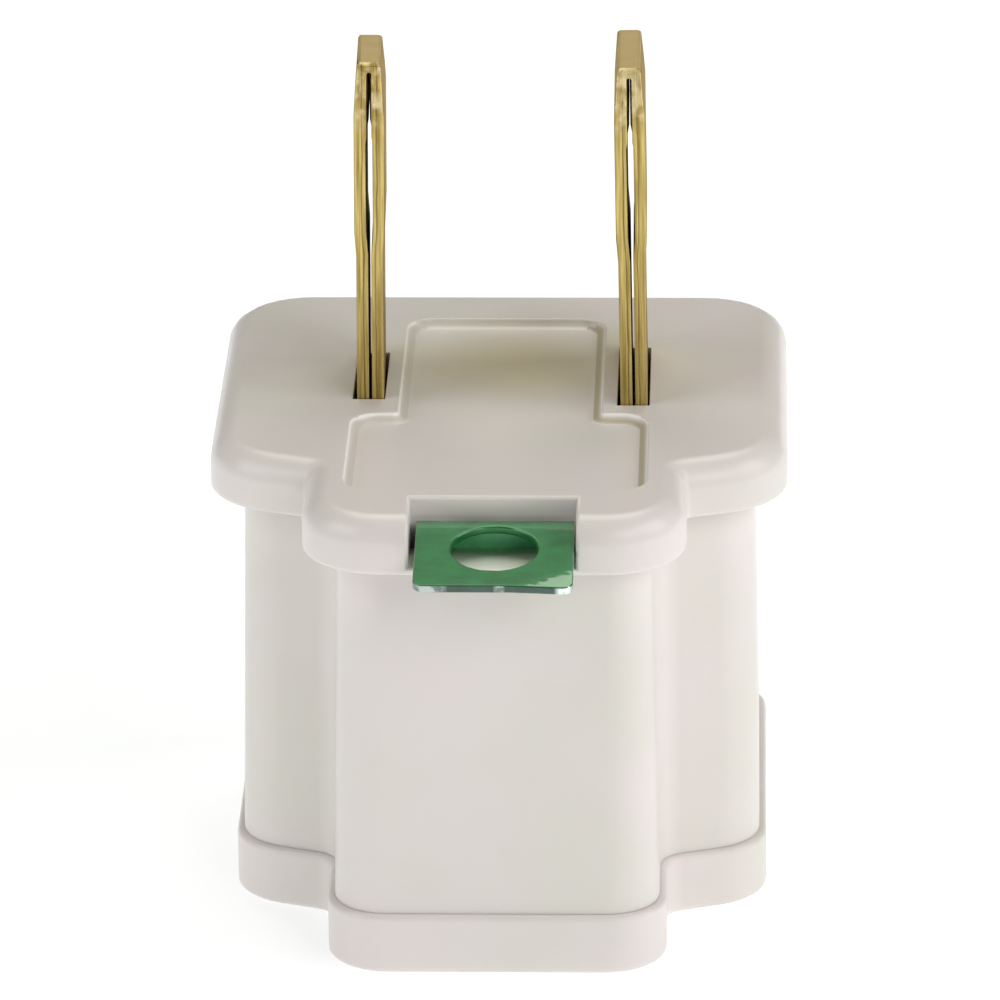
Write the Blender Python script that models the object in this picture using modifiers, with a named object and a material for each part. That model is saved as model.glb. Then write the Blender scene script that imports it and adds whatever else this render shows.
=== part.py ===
"""Grounding plug adapter: two folded brass blades on a moulded body, with a green grounding tab.

Run with: blender --background --python part.py
Metres, +Z up. The origin is on the receptacle face, midway between the blades and on their centre
line. +Z points out of the plug face, +X is to the right, and the grounding tab leans over the -Y edge.
"""
import math

import bpy
import bmesh
from mathutils import Vector

mm = 0.001

# Standard spacings of the plug and the receptacle.
BLADE_SPACING = 12.7 * mm
GROUND_OFFSET = 11.9 * mm

# Plan of the flange: a wide back part with the blades and a narrower column in front.
FLANGE_HALF_WIDTH = 13.73 * mm
FLANGE_BACK = 12.3 * mm
WING_FRONT = 12.28 * mm
WING_SLOPE = 0.368
COLUMN_FRONT = 19.64 * mm
COLUMN_HALF_WIDTH = 8.99 * mm
BACK_CORNER = 4.09 * mm
WING_CORNER = 4.2 * mm
COLUMN_CORNER = 3.81 * mm
INNER_CORNER = 0.3 * mm

# Heights, and how far the body and the rim stand in from the flange.
TOTAL_HEIGHT = 23.26 * mm
FLANGE_THICKNESS = 2.7 * mm
FLANGE_TOP_ROUND = 1.28 * mm
FLANGE_LOW_ROUND = 0.25 * mm
BODY_INSET = 1.615 * mm
BODY_DRAFT = 0.333 * mm
RIM_HEIGHT = 2.93 * mm
RIM_PROUD = 0.342 * mm
RIM_ROUND = 0.3 * mm

# The cover's raised land seats in a recess in the bottom of the housing.
LAND_INSET = 1.3 * mm
LAND_HEIGHT = 0.9 * mm
SEAM = 0.05 * mm
LAND_CLEARANCE = 0.12 * mm

# Shallow panel in the plug face: a narrow part between the blades and a wide part in front of them.
PANEL_NARROW_HALF = 4.85 * mm
PANEL_WIDE_HALF = 7.1 * mm
PANEL_BACK = 8.1 * mm
PANEL_STEP = 5.2 * mm
PANEL_FRONT = 15.3 * mm
PANEL_CORNER = 1.3 * mm
PANEL_INNER_CORNER = 0.3 * mm
PANEL_DEPTH = 0.42 * mm
PANEL_COVE = 0.65 * mm

# Folded brass strip: blade above the plug face, two clip leaves inside the body.
LEAF = 0.58 * mm
BLADE_RISE = 16.6 * mm
HOT_WIDTH = 6.35 * mm
NEUTRAL_WIDTH = 7.94 * mm
BASE_GAP = 0.14 * mm
HOT_BOW = 0.31 * mm
NEUTRAL_BOW = 0.32 * mm
BOW_START = 7.2 * mm
BOW_FULL = 8.4 * mm
TIP_TAPER = 2.4 * mm
TIP_HALF = 0.58 * mm
TIP_EDGE_ROUND = 0.2 * mm

# The fold is pinched shut along the blade's width, and stays open in a loop at both sheared ends.
FOLD_WALL = 0.42 * mm
FOLD_GAP = 0.05 * mm
PINCH_DROP = 0.55 * mm
PINCH_RUN = 0.7 * mm
LOOP_WIDTH = 0.23 * mm
LOOP_LENGTH = 3.3 * mm
LOOP_DEPTH = 1.4 * mm
LOOP_ROUND = 0.1 * mm

# The tip's corners are cut off at a slant.
TIP_CUT_IN = 0.9 * mm
TIP_CUT_DROP = 1.6 * mm
TIP_CUT_ROUND = 0.5 * mm
TIP_MARGIN = 0.02 * mm

# Shoulders under the plug face, and the clip leaves below them.
SHOULDER = 1.1 * mm
SHOULDER_CORNER = 0.3 * mm
SHOULDER_SEAT = 0.15 * mm
CLIP_SPREAD = 1.55 * mm
CLIP_NIP = 0.6 * mm
CLIP_MOUTH = 1.4 * mm
CLIP_SPREAD_DROP = 3.4 * mm
CLIP_LEAD = 2.6 * mm
CLIP_RISE = 4.0 * mm
CLIP_BEND = 0.5 * mm
CONTACT_END_CLEARANCE = 0.25 * mm

# The contacts stand a little askew in their slots.
HOT_YAW = math.radians(1.5)
HOT_LEAN = math.radians(0.4)
NEUTRAL_YAW = math.radians(0.6)
NEUTRAL_LEAN = math.radians(-0.75)

# Slots and pockets of the housing around the contacts.
SLOT_SIDE_PLAY = 0.12 * mm
SLOT_END_PLAY = 0.08 * mm
POCKET_PLAY = 0.4 * mm

# Openings of the receptacle face.
HOT_SLOT_LENGTH = 7.1 * mm
NEUTRAL_SLOT_LENGTH = 8.7 * mm
FACE_SLOT_WIDTH = 2.2 * mm
FACE_SLOT_CORNER = 0.3 * mm
GROUND_HOLE_WIDTH = 5.3 * mm
GROUND_HOLE_HEIGHT = 5.9 * mm
GROUND_HOLE_CORNER = 0.5 * mm
ARCH_FLAT = 0.05 * mm
LEAD_IN = 0.4 * mm

# Green tab: a strip that rises inside the front wall and bends forward over it, with a screw hole.
FRONT_WALL = 1.225 * mm
TAB_THICKNESS = 0.4 * mm
TAB_WIDTH = 7.4 * mm
TAB_SHIFT = 0.11 * mm
TAB_DROP = 0.94 * mm
TAB_REACH = 6.5 * mm
TAB_TILT = math.radians(8.5)
TAB_BEND = 0.4 * mm
TAB_CORNER = 0.5 * mm
TAB_HOLE = 4.05 * mm
TAB_HOLE_FROM_BACK = 3.05 * mm
TAB_LEG_BELOW_RIVET = 2.6 * mm
NOTCH_SILL = 0.34 * mm
NOTCH_SIDE_PLAY = 0.18 * mm
STRIP_PLAY = 0.08 * mm

# Ground clip: a U of sheet brass around the pin's place, riveted to the tab's leg.
GROUND_SHEET = 0.6 * mm
GROUND_NIP = 2.3 * mm
GROUND_HEEL = 2.75 * mm
GROUND_MOUTH = 2.8 * mm
GROUND_FLARE = 0.5 * mm
GROUND_FLARE_HEIGHT = 1.6 * mm
GROUND_LEAF_PAST_PIN = 2.4 * mm
GROUND_BEND = 0.7 * mm
GROUND_TOP_CLEARANCE = 1.6 * mm
GROUND_POCKET_PLAY = 0.45 * mm

# Rivet through the clip's web and the tab's leg.
RIVET_RADIUS = 0.8 * mm
RIVET_HEAD_RADIUS = 1.35 * mm
RIVET_HEAD = 0.35 * mm
RIVET_DOME = 0.12 * mm
RIVET_CROWN_RADIUS = 0.95 * mm
RIVET_CROWN_DROP = 0.04 * mm
RIVET_HEIGHT = 9.0 * mm
RIVET_PLAY = 0.08 * mm

# Steps in one rounded corner, one rounded edge, one bend and one full turn.
CORNER_STEPS = 8
EDGE_STEPS = 4
BEND_STEPS = 4
ROUND_STEPS = 32

# Creases sharper than this stay sharp in the shading, and bends slighter than the other stay straight.
SHARP_ANGLE = math.radians(35)
STRAIGHT_ANGLE = math.radians(0.05)

# How far a cutter runs past what it cuts.
PAST = 1.0 * mm

FLANGE_UNDERSIDE = TOTAL_HEIGHT - FLANGE_THICKNESS
BODY_TOP_GROW = -BODY_INSET
BODY_LOW_GROW = BODY_TOP_GROW + BODY_DRAFT
LAND_TOP = RIM_HEIGHT + LAND_HEIGHT
RECESS_TOP = LAND_TOP + SEAM
CONTACT_END = LAND_TOP + CONTACT_END_CLEARANCE
BLADE_HALF = LEAF + BASE_GAP / 2
FOLD_TOP = BLADE_RISE - FOLD_WALL
TAB_FRONT_FACE = COLUMN_FRONT - BODY_INSET - FRONT_WALL
TAB_BACK = TAB_FRONT_FACE - TAB_THICKNESS
TAB_MIDDLE = TAB_FRONT_FACE - TAB_THICKNESS / 2
RIVET_GRIP = TAB_THICKNESS + STRIP_PLAY + GROUND_SHEET + 2 * RIVET_PLAY


def clear_scene():
    for obj in list(bpy.data.objects):
        bpy.data.objects.remove(obj, do_unlink=True)


def new_collection(name):
    collection = bpy.data.collections.new(name)
    bpy.context.scene.collection.children.link(collection)
    return collection


def linear(hex_colour):
    """Linear RGBA of an sRGB colour written as six hex digits."""
    channels = [int(hex_colour[i:i + 2], 16) / 255 for i in (0, 2, 4)]
    return [c / 12.92 if c <= 0.04045 else ((c + 0.055) / 1.055) ** 2.4 for c in channels] + [1.0]


def new_material(name, hex_colour, roughness, metallic):
    material = bpy.data.materials.new(name)
    material.use_nodes = True
    shader = material.node_tree.nodes["Principled BSDF"]
    shader.inputs["Base Color"].default_value = linear(hex_colour)
    shader.inputs["Roughness"].default_value = roughness
    shader.inputs["Metallic"].default_value = metallic
    material.diffuse_color = linear(hex_colour)
    return material


def arc_at(before, here, after, radius, steps):
    """Points of the arc that turns the corner at here between its two neighbours."""
    back = (before - here).normalized()
    ahead = (after - here).normalized()
    half = back.angle(ahead) / 2
    centre = here + (back + ahead).normalized() * radius / math.sin(half)
    start = here + back * radius / math.tan(half) - centre
    end = here + ahead * radius / math.tan(half) - centre
    first = math.atan2(start.y, start.x)
    turn = math.remainder(math.atan2(end.y, end.x) - first, math.tau)
    angles = [first + turn * step / steps for step in range(steps + 1)]
    return [centre + Vector((math.cos(a), math.sin(a))) * radius for a in angles]


def rounded(corners):
    """Closed outline through (x, y, radius) corners, all with the same number of points."""
    places = [Vector(corner[:2]) for corner in corners]
    points = []
    for index, corner in enumerate(corners):
        after = places[(index + 1) % len(places)]
        points += arc_at(places[index - 1], places[index], after, corner[2], CORNER_STEPS)
    return points


def mirrored(corners):
    """The right half's corners, followed by the same corners on the left."""
    return corners + [(-x, y, radius) for x, y, radius in reversed(corners)]


def bent(path, radius):
    """An open path with its inner corners turned by arcs."""
    places = [Vector(place) for place in path]
    points = [places[0]]
    for before, here, after in zip(places, places[1:], places[2:]):
        if (here - before).angle(after - here) < STRAIGHT_ANGLE:
            points.append(here)
        else:
            points += arc_at(before, here, after, radius, BEND_STEPS)
    return points + [places[-1]]


def offset(points, distance):
    """An open path moved to its left by distance, mitred at each point."""
    moved = []
    for index, here in enumerate(points):
        before = points[index - 1] if index else here
        after = points[index + 1] if index + 1 < len(points) else here
        arrive = (here - before).normalized() if index else (after - here).normalized()
        leave = (after - here).normalized() if index + 1 < len(points) else arrive
        mean = (arrive + leave).normalized()
        normal = Vector((-mean.y, mean.x))
        moved.append(here + normal * distance / mean.dot(arrive))
    return moved


def strip(path, thickness, radius):
    """Closed outline of a bent sheet that follows path at the middle of its thickness."""
    line = bent(path, radius)
    return offset(line, thickness / 2) + list(reversed(offset(line, -thickness / 2)))


def adapter_outline(grow):
    """Plan of the adapter, moved outward by grow."""
    column = COLUMN_HALF_WIDTH + grow
    side = FLANGE_HALF_WIDTH + grow
    wing = -WING_FRONT - grow * math.hypot(1, WING_SLOPE)
    return rounded(mirrored([
        (column, -COLUMN_FRONT - grow, COLUMN_CORNER + grow),
        (column, wing + WING_SLOPE * (column - COLUMN_HALF_WIDTH), INNER_CORNER - grow),
        (side, wing + WING_SLOPE * (side - COLUMN_HALF_WIDTH), WING_CORNER + grow),
        (side, FLANGE_BACK + grow, BACK_CORNER + grow),
    ]))


def panel_outline(grow):
    """Plan of the shallow panel in the plug face."""
    return rounded(mirrored([
        (PANEL_WIDE_HALF + grow, -PANEL_FRONT - grow, PANEL_CORNER + grow),
        (PANEL_WIDE_HALF + grow, -PANEL_STEP + grow, PANEL_CORNER + grow),
        (PANEL_NARROW_HALF + grow, -PANEL_STEP + grow, PANEL_INNER_CORNER - grow),
        (PANEL_NARROW_HALF + grow, PANEL_BACK + grow, PANEL_CORNER + grow),
    ]))


def slot_outline(length, grow):
    half_width = FACE_SLOT_WIDTH / 2 + grow
    half_length = length / 2 + grow
    corner = FACE_SLOT_CORNER + grow
    return rounded(mirrored([(half_width, -half_length, corner), (half_width, half_length, corner)]))


def ground_hole_outline(grow):
    """Arched hole for the ground pin, round on the blades' side."""
    half_width = GROUND_HOLE_WIDTH / 2 + grow
    half_height = GROUND_HOLE_HEIGHT / 2 + grow
    return rounded(mirrored([
        (half_width, -half_height, GROUND_HOLE_CORNER + grow),
        (half_width, half_height, half_width - ARCH_FLAT),
    ]))


def finish(obj, collection, material):
    """Puts a new object in its collection; without a material it is a cutter."""
    collection.objects.link(obj)
    if material is None:
        obj.hide_render = True
        obj.display_type = "WIRE"
        return obj
    obj.data.materials.append(material)
    obj.data.shade_smooth()
    obj.data.set_sharp_from_angle(angle=SHARP_ANGLE)
    return obj


def loft(name, rings, collection, material=None):
    """Closed solid through rings of equal point count, given as (points, height) upward."""
    bm = bmesh.new()
    points, height = rings[0]
    face = bm.faces.new([bm.verts.new((point[0], point[1], height)) for point in points])
    base = face
    for points, height in rings[1:]:
        pulled = bmesh.ops.extrude_face_region(bm, geom=[face])["geom"]
        if face is not base:
            bm.faces.remove(face)
        face = next(item for item in pulled if isinstance(item, bmesh.types.BMFace))
        for vert, point in zip(face.verts, points):
            vert.co = (point[0], point[1], height)
    bmesh.ops.recalc_face_normals(bm, faces=bm.faces)
    mesh = bpy.data.meshes.new(name)
    bm.to_mesh(mesh)
    bm.free()
    return finish(bpy.data.objects.new(name, mesh), collection, material)


def box(name, low, high, collection):
    """Cutter from its low corner to its high corner."""
    low = Vector(low)
    high = Vector(high)
    bm = bmesh.new()
    bmesh.ops.create_cube(bm, size=1)
    bmesh.ops.scale(bm, vec=high - low, verts=bm.verts)
    mesh = bpy.data.meshes.new(name)
    bm.to_mesh(mesh)
    bm.free()
    obj = finish(bpy.data.objects.new(name, mesh), collection, None)
    obj.location = (low + high) / 2
    return obj


def rod(name, radius, length, collection):
    """Round cutter along its own Z, centred."""
    bm = bmesh.new()
    bmesh.ops.create_cone(
        bm, cap_ends=True, segments=ROUND_STEPS, radius1=radius, radius2=radius, depth=length)
    mesh = bpy.data.meshes.new(name)
    bm.to_mesh(mesh)
    bm.free()
    return finish(bpy.data.objects.new(name, mesh), collection, None)


def apply_boolean(target, tool, operation="DIFFERENCE"):
    modifier = target.modifiers.new(tool.name, "BOOLEAN")
    modifier.operation = operation
    modifier.solver = "EXACT"
    modifier.object = tool


def edge_rounding(radius):
    """(inset, depth) steps of a quarter round, from the flat face to the side."""
    angles = [math.radians(90) * step / EDGE_STEPS for step in range(EDGE_STEPS + 1)]
    return [(radius * (1 - math.sin(a)), radius * (1 - math.cos(a))) for a in angles]


def panel_cove():
    """(inset, depth) steps of the panel's wall, from its floor up a hollow quarter curve to the face."""
    angles = [math.radians(90) * (1 - step / EDGE_STEPS) for step in range(EDGE_STEPS + 1)]
    return [(PANEL_COVE * (1 - math.cos(a)), PANEL_DEPTH * math.sin(a)) for a in angles]


def make_housing(parts, cutters, plastic):
    rings = [
        (adapter_outline(BODY_LOW_GROW), RIM_HEIGHT + SEAM),
        (adapter_outline(BODY_TOP_GROW), FLANGE_UNDERSIDE),
    ]
    for inset, depth in edge_rounding(FLANGE_LOW_ROUND):
        rings.append((adapter_outline(-inset), FLANGE_UNDERSIDE + depth))
    for inset, depth in reversed(edge_rounding(FLANGE_TOP_ROUND)):
        rings.append((adapter_outline(-inset), TOTAL_HEIGHT - depth))
    housing = loft("housing", rings, parts, plastic)

    recess = adapter_outline(BODY_LOW_GROW - LAND_INSET)
    apply_boolean(housing, loft("land_recess", [
        (recess, RIM_HEIGHT - PAST),
        (recess, RECESS_TOP),
    ], cutters))

    pocket_half = CLIP_SPREAD + LEAF + POCKET_PLAY
    slot_half = BLADE_HALF + SLOT_SIDE_PLAY
    for name, side, width in (("hot", -1, HOT_WIDTH), ("neutral", 1, NEUTRAL_WIDTH)):
        x = side * BLADE_SPACING / 2
        reach = width / 2 + SHOULDER + POCKET_PLAY
        apply_boolean(housing, box(
            name + "_pocket",
            (x - pocket_half, -reach, RECESS_TOP - PAST),
            (x + pocket_half, reach, FLANGE_UNDERSIDE),
            cutters))
        end = width / 2 + SLOT_END_PLAY
        apply_boolean(housing, box(
            name + "_blade_slot",
            (x - slot_half, -end, FLANGE_UNDERSIDE - PAST),
            (x + slot_half, end, TOTAL_HEIGHT + PAST),
            cutters))

    pin_y = -GROUND_OFFSET
    clip_half = GROUND_HEEL + GROUND_SHEET + GROUND_POCKET_PLAY
    notch_half = TAB_WIDTH / 2 + NOTCH_SIDE_PLAY
    front = -TAB_FRONT_FACE - STRIP_PLAY
    back = -TAB_BACK + STRIP_PLAY
    apply_boolean(housing, box(
        "ground_pocket",
        (-clip_half, -TAB_MIDDLE, RECESS_TOP - PAST),
        (clip_half, pin_y + GROUND_LEAF_PAST_PIN + GROUND_POCKET_PLAY, FLANGE_UNDERSIDE),
        cutters))
    apply_boolean(housing, box(
        "tab_leg_pocket",
        (-notch_half, front, RECESS_TOP - PAST),
        (notch_half, back, FLANGE_UNDERSIDE + FLANGE_THICKNESS / 2),
        cutters))
    apply_boolean(housing, box(
        "tab_notch",
        (-notch_half, -COLUMN_FRONT - PAST, FLANGE_UNDERSIDE + NOTCH_SILL),
        (notch_half, back, TOTAL_HEIGHT + PAST),
        cutters))
    groove_half = RIVET_HEAD_RADIUS + RIVET_PLAY
    groove_front = -TAB_FRONT_FACE - 2 * RIVET_PLAY - RIVET_HEAD
    apply_boolean(housing, box(
        "rivet_groove",
        (-groove_half, groove_front, RECESS_TOP - PAST),
        (groove_half, -TAB_MIDDLE, RIVET_HEIGHT + groove_half),
        cutters))

    panel = [(panel_outline(-inset), TOTAL_HEIGHT - depth) for inset, depth in panel_cove()]
    panel.append((panel_outline(0), TOTAL_HEIGHT + PAST))
    apply_boolean(housing, loft("face_panel", panel, cutters))
    return housing


def make_socket_cover(parts, cutters, plastic):
    rim = BODY_LOW_GROW + RIM_PROUD
    rings = []
    for inset, depth in edge_rounding(RIM_ROUND):
        rings.append((adapter_outline(rim - inset), depth))
    for inset, depth in reversed(edge_rounding(RIM_ROUND)):
        rings.append((adapter_outline(rim - inset), RIM_HEIGHT - depth))
    land = adapter_outline(BODY_LOW_GROW - LAND_INSET - LAND_CLEARANCE)
    rings.append((land, RIM_HEIGHT))
    rings.append((land, LAND_TOP))
    cover = loft("socket_cover", rings, parts, plastic)

    for name, side, length in (("hot", -1, HOT_SLOT_LENGTH), ("neutral", 1, NEUTRAL_SLOT_LENGTH)):
        slot = loft(name + "_face_slot", [
            (slot_outline(length, 2 * LEAD_IN), -LEAD_IN),
            (slot_outline(length, 0), LEAD_IN),
            (slot_outline(length, 0), LAND_TOP + PAST),
        ], cutters)
        slot.location.x = side * BLADE_SPACING / 2
        apply_boolean(cover, slot)
    hole = loft("ground_hole", [
        (ground_hole_outline(2 * LEAD_IN), -LEAD_IN),
        (ground_hole_outline(0), LEAD_IN),
        (ground_hole_outline(0), LAND_TOP + PAST),
    ], cutters)
    hole.location.y = -GROUND_OFFSET
    apply_boolean(cover, hole)
    return cover


def contact_outline(bow):
    """Section of a folded strip, seen along the blade's width; height 0 is the plug face."""
    end = CONTACT_END - TOTAL_HEIGHT
    spread_start = -FLANGE_THICKNESS - SHOULDER_SEAT
    taper = BLADE_RISE - TIP_TAPER
    inner = bent([
        (CLIP_MOUTH, end),
        (CLIP_NIP, end + CLIP_LEAD),
        (CLIP_SPREAD, end + CLIP_LEAD + CLIP_RISE),
        (CLIP_SPREAD, spread_start - CLIP_SPREAD_DROP),
        (BASE_GAP / 2, spread_start),
        (BASE_GAP / 2, BOW_START),
        (bow / 2, BOW_FULL),
        (bow / 2, taper),
    ], CLIP_BEND + LEAF)
    outer = offset(inner, -LEAF)
    for inset, depth in reversed(edge_rounding(TIP_EDGE_ROUND)):
        outer.append(Vector((TIP_HALF - inset, BLADE_RISE - depth)))
    inner[-1].y = taper - PINCH_DROP - PINCH_RUN
    inner.append(Vector((FOLD_GAP / 2, taper - PINCH_DROP)))
    inner.append(Vector((FOLD_GAP / 2, FOLD_TOP)))
    half = list(reversed(inner)) + outer
    return half + [Vector((-point.x, point.y)) for point in reversed(half)]


def loop_outline():
    """Section of the fold's open loop at a sheared end, seen as contact_outline is."""
    return rounded(mirrored([
        (LOOP_WIDTH / 2, FOLD_TOP - LOOP_LENGTH, LOOP_ROUND),
        (LOOP_WIDTH / 2, FOLD_TOP, LOOP_ROUND),
    ]))


def make_contact(name, width, bow, place, parts, cutters, brass):
    """One folded strip, cut to its blade, shoulders and leaves by its side view."""
    reach = width / 2 + SHOULDER
    section = contact_outline(bow)
    contact = loft(name, [(section, -reach - PAST), (section, reach + PAST)], parts, brass)
    contact.rotation_euler = (math.radians(90), 0, 0)
    contact.parent = place

    loop = loop_outline()
    deep = width / 2 - LOOP_DEPTH
    out = width / 2 + PAST
    for end, low, high in (("front", deep, out), ("back", -out, -deep)):
        opening = loft(name + "_loop_" + end, [(loop, low), (loop, high)], cutters)
        opening.rotation_euler = contact.rotation_euler
        opening.parent = place
        apply_boolean(contact, opening)

    shoulder = -FLANGE_THICKNESS - SHOULDER_SEAT
    side_view = rounded(mirrored([
        (reach, CONTACT_END - TOTAL_HEIGHT - PAST, SHOULDER_CORNER),
        (reach, shoulder, SHOULDER_CORNER),
        (width / 2, shoulder, SHOULDER_CORNER),
        (width / 2, BLADE_RISE - TIP_CUT_DROP, TIP_CUT_ROUND),
        (width / 2 - TIP_CUT_IN, BLADE_RISE + TIP_MARGIN, TIP_CUT_ROUND),
    ]))
    half_span = CLIP_SPREAD + LEAF + PAST
    side = loft(name + "_side_view", [(side_view, -half_span), (side_view, half_span)], cutters)
    side.rotation_euler = (math.radians(90), 0, math.radians(90))
    side.parent = place
    apply_boolean(contact, side, "INTERSECT")
    return contact


def make_ground_tab(parts, cutters, green):
    """Strip with its leg inside the front wall and its tab bent forward over the wall."""
    bend_z = TOTAL_HEIGHT - TAB_DROP - TAB_THICKNESS / 2
    run = TAB_REACH - TAB_THICKNESS / 2
    tip = (-TAB_MIDDLE - run * math.cos(TAB_TILT), bend_z - run * math.sin(TAB_TILT))
    foot = (-TAB_MIDDLE, RIVET_HEIGHT - TAB_LEG_BELOW_RIVET)
    section = strip([foot, (-TAB_MIDDLE, bend_z), tip], TAB_THICKNESS, TAB_BEND)
    tab = loft("ground_tab", [(section, -TAB_WIDTH / 2), (section, TAB_WIDTH / 2)], parts, green)
    tab.rotation_euler = (math.radians(90), 0, math.radians(90))
    tab.location.x = TAB_SHIFT

    # The front corners are the edges of the strip's end that run through its thickness.
    bm = bmesh.new()
    bm.from_mesh(tab.data)
    front = min(vert.co.x for vert in bm.verts)
    corners = []
    for edge in bm.edges:
        ends = [vert.co for vert in edge.verts]
        at_front = all(end.x < front + TAB_THICKNESS / 2 for end in ends)
        if at_front and abs(ends[0].z - ends[1].z) < TAB_THICKNESS / 2:
            corners.append(edge)
    bmesh.ops.bevel(
        bm, geom=corners, offset=TAB_CORNER, segments=CORNER_STEPS, profile=0.5, affect="EDGES")
    bm.to_mesh(tab.data)
    bm.free()

    hole = rod("tab_hole", TAB_HOLE / 2, TAB_THICKNESS + PAST, cutters)
    along = TAB_HOLE_FROM_BACK - TAB_THICKNESS / 2
    hole_y = -TAB_MIDDLE - along * math.cos(TAB_TILT)
    hole.location = (TAB_SHIFT, hole_y, bend_z - along * math.sin(TAB_TILT))
    hole.rotation_euler.x = TAB_TILT
    apply_boolean(tab, hole)
    return tab


def ground_clip_outline(flare):
    """Plan of the U, its leaves opened by flare at the pin and the free ends."""
    half = GROUND_SHEET / 2
    web_y = -TAB_BACK + STRIP_PLAY + half
    nip_y = -GROUND_OFFSET + half
    end_y = -GROUND_OFFSET + GROUND_LEAF_PAST_PIN
    right = [
        (GROUND_HEEL + half, web_y),
        (GROUND_NIP + flare + half, nip_y),
        (GROUND_MOUTH + flare + half, end_y),
    ]
    left = [(-x, y) for x, y in reversed(right)]
    return strip(left + right, GROUND_SHEET, GROUND_BEND)


def make_ground_contact(parts, brass):
    top = FLANGE_UNDERSIDE - GROUND_TOP_CLEARANCE
    return loft("ground_contact", [
        (ground_clip_outline(GROUND_FLARE), CONTACT_END),
        (ground_clip_outline(0), CONTACT_END + GROUND_FLARE_HEIGHT),
        (ground_clip_outline(0), top),
    ], parts, brass)


def make_ground_rivet(parts, steel):
    """Turned rivet along its own Z, with a low dome on each head."""
    half = RIVET_GRIP / 2
    rim = half + RIVET_HEAD - RIVET_DOME
    profile = [
        (0, half + RIVET_HEAD),
        (RIVET_CROWN_RADIUS, half + RIVET_HEAD - RIVET_CROWN_DROP),
        (RIVET_HEAD_RADIUS, rim),
        (RIVET_HEAD_RADIUS, half),
        (RIVET_RADIUS, half),
    ]
    profile += [(radius, -height) for radius, height in reversed(profile)]
    bm = bmesh.new()
    verts = [bm.verts.new((radius, 0, height)) for radius, height in profile]
    for first, second in zip(verts, verts[1:]):
        bm.edges.new((first, second))
    mesh = bpy.data.meshes.new("ground_rivet")
    bm.to_mesh(mesh)
    bm.free()
    rivet = finish(bpy.data.objects.new("ground_rivet", mesh), parts, steel)
    screw = rivet.modifiers.new("turn", "SCREW")
    screw.steps = ROUND_STEPS
    screw.render_steps = ROUND_STEPS
    screw.use_merge_vertices = True
    screw.merge_threshold = 0.01 * mm
    rivet.rotation_euler.x = math.radians(90)
    middle = TAB_FRONT_FACE + RIVET_PLAY - half
    rivet.location = (0, -middle, RIVET_HEIGHT)
    return rivet


def make_adapter():
    clear_scene()
    parts = new_collection("grounding_plug_adapter")
    cutters = new_collection("cutters")

    housing_plastic = new_material("housing_plastic", "D2CAC4", 0.38, 0.0)
    cover_plastic = new_material("cover_plastic", "D2CAC4", 0.38, 0.0)
    hot_brass = new_material("hot_brass", "C6A35A", 0.28, 1.0)
    neutral_brass = new_material("neutral_brass", "C6A35A", 0.28, 1.0)
    ground_brass = new_material("ground_brass", "C6A35A", 0.3, 1.0)
    tab_green = new_material("tab_green", "2E8B5A", 0.2, 0.0)
    rivet_steel = new_material("rivet_steel", "B9BCBE", 0.3, 1.0)

    make_housing(parts, cutters, housing_plastic)
    make_socket_cover(parts, cutters, cover_plastic)

    hot_place = bpy.data.objects.new("hot_place", None)
    hot_place.location = (-BLADE_SPACING / 2, 0, TOTAL_HEIGHT)
    hot_place.rotation_euler = (0, HOT_LEAN, HOT_YAW)
    neutral_place = bpy.data.objects.new("neutral_place", None)
    neutral_place.location = (BLADE_SPACING / 2, 0, TOTAL_HEIGHT)
    neutral_place.rotation_euler = (0, NEUTRAL_LEAN, NEUTRAL_YAW)
    parts.objects.link(hot_place)
    parts.objects.link(neutral_place)
    make_contact("hot_contact", HOT_WIDTH, HOT_BOW, hot_place, parts, cutters, hot_brass)
    make_contact(
        "neutral_contact", NEUTRAL_WIDTH, NEUTRAL_BOW, neutral_place, parts, cutters, neutral_brass)

    tab = make_ground_tab(parts, cutters, tab_green)
    clip = make_ground_contact(parts, ground_brass)
    rivet = make_ground_rivet(parts, rivet_steel)
    rivet_hole = rod("rivet_hole", RIVET_RADIUS + RIVET_PLAY, RIVET_GRIP + PAST, cutters)
    rivet_hole.rotation_euler = rivet.rotation_euler
    rivet_hole.location = rivet.location
    apply_boolean(tab, rivet_hole)
    apply_boolean(clip, rivet_hole)


make_adapter()
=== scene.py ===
# Looks of the grounding plug adapter: a warm white moulding, two folded brass blades and a green tab.
import math

import bmesh
import bpy
from mathutils import Euler, Matrix, Vector


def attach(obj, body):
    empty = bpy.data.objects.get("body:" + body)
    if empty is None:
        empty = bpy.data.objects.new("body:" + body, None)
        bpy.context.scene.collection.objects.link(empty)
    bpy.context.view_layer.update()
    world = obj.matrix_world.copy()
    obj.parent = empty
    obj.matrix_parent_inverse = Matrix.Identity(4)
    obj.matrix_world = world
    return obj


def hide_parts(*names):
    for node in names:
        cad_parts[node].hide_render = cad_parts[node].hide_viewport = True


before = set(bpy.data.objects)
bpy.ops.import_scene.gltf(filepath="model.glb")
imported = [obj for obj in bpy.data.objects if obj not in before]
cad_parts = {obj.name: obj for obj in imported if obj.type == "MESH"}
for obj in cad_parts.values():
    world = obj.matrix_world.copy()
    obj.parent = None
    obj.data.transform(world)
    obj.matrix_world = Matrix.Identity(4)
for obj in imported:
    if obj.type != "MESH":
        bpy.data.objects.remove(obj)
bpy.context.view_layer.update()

mm = 0.001

# The camera stands in front of the adapter, a little to its right, and looks down on it.
CAMERA_AZIMUTH = math.radians(1.726)
CAMERA_ELEVATION = math.radians(21.0)
CAMERA_ROLL = math.radians(-0.477)
CAMERA_DISTANCE = 420.5 * mm
CAMERA_TARGET = Vector((-0.192, 0.0, 16.822)) * mm
CAMERA_LENS = 311.53
SENSOR_WIDTH = 36.0
NEAREST_SEEN = 10 * mm
FARTHEST_SEEN = 20

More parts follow.
